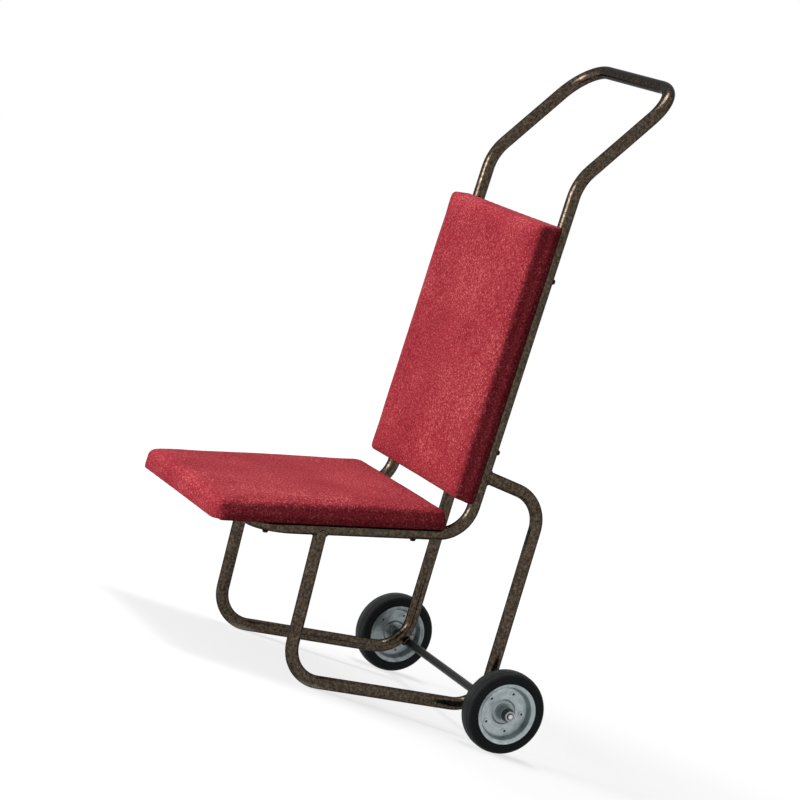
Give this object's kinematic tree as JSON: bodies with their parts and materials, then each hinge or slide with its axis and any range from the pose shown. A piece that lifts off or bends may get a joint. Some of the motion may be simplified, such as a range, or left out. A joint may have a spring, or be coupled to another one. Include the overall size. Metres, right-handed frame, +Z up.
{
  "type": "stacking chair trolley",
  "caption": "Tubular two-wheeled trolley with padded seat and back and a hoop handle, slid under stacked chairs and tipped back to wheel them away.",
  "frame": {"origin": "on the floor, under the middle of the overall box, with the trolley standing on its wheels and front bends", "axes": "+X to the left of the person pushing, across the trolley; +Y to the rear, towards the handle; +Z up"},
  "size_m": [0.6126, 0.756, 1.2915],
  "materials": {
    "frame_bronze": "hammered bronze-brown coating, semi-gloss",
    "axle_black": "black coating, satin",
    "tyre_rubber": "solid black rubber, satin",
    "wheel_zinc": "zinc grey, satin",
    "rivet_bright": "zinc plated",
    "bush_nylon": "black nylon",
    "washer_dark": "dark steel",
    "nut_bright": "zinc plated",
    "screw_black": "black, satin",
    "cover_cloth": "burgundy woven upholstery cloth",
    "dust_cloth": "black non-woven cloth",
    "pad_foam": "open-cell foam",
    "board_ply": "birch plywood"
  },
  "bodies": {
    "frame": {"handle_hoop": "frame_bronze", "seat_hoop": "frame_bronze", "left_leg_loop": "frame_bronze", "right_leg_loop": "frame_bronze", "axle": "axle_black", "left_sleeve": "axle_black", "left_inner_washer": "washer_dark", "left_outer_washer": "washer_dark", "left_nut": "nut_bright", "right_sleeve": "axle_black", "right_inner_washer": "washer_dark", "right_outer_washer": "washer_dark", "right_nut": "nut_bright", "seat_board": "board_ply", "seat_foam": "pad_foam", "seat_cover": "cover_cloth", "seat_dust_cloth": "dust_cloth", "seat_screws": "screw_black", "seat_tee_nuts": "rivet_bright", "back_board": "board_ply", "back_foam": "pad_foam", "back_cover": "cover_cloth", "back_dust_cloth": "dust_cloth", "back_screws": "screw_black", "back_tee_nuts": "rivet_bright"},
    "left_wheel": {"left_tyre": "tyre_rubber", "left_outer_disc": "wheel_zinc", "left_inner_disc": "wheel_zinc", "left_rivets": "rivet_bright", "left_hub_tube": "wheel_zinc", "left_bushes": "bush_nylon"},
    "right_wheel": {"right_tyre": "tyre_rubber", "right_outer_disc": "wheel_zinc", "right_inner_disc": "wheel_zinc", "right_rivets": "rivet_bright", "right_hub_tube": "wheel_zinc", "right_bushes": "bush_nylon"}
  },
  "joints": [
    {"name": "left_wheel_spin", "type": "hinge", "parent": "frame", "child": "left_wheel", "pos_m": [0.2705, 0.29803, 0.08], "axis": [1, 0, 0], "continuous": true},
    {"name": "right_wheel_spin", "type": "hinge", "parent": "frame", "child": "right_wheel", "pos_m": [-0.2705, 0.29803, 0.08], "axis": [1, 0, 0], "continuous": true}
  ]
}
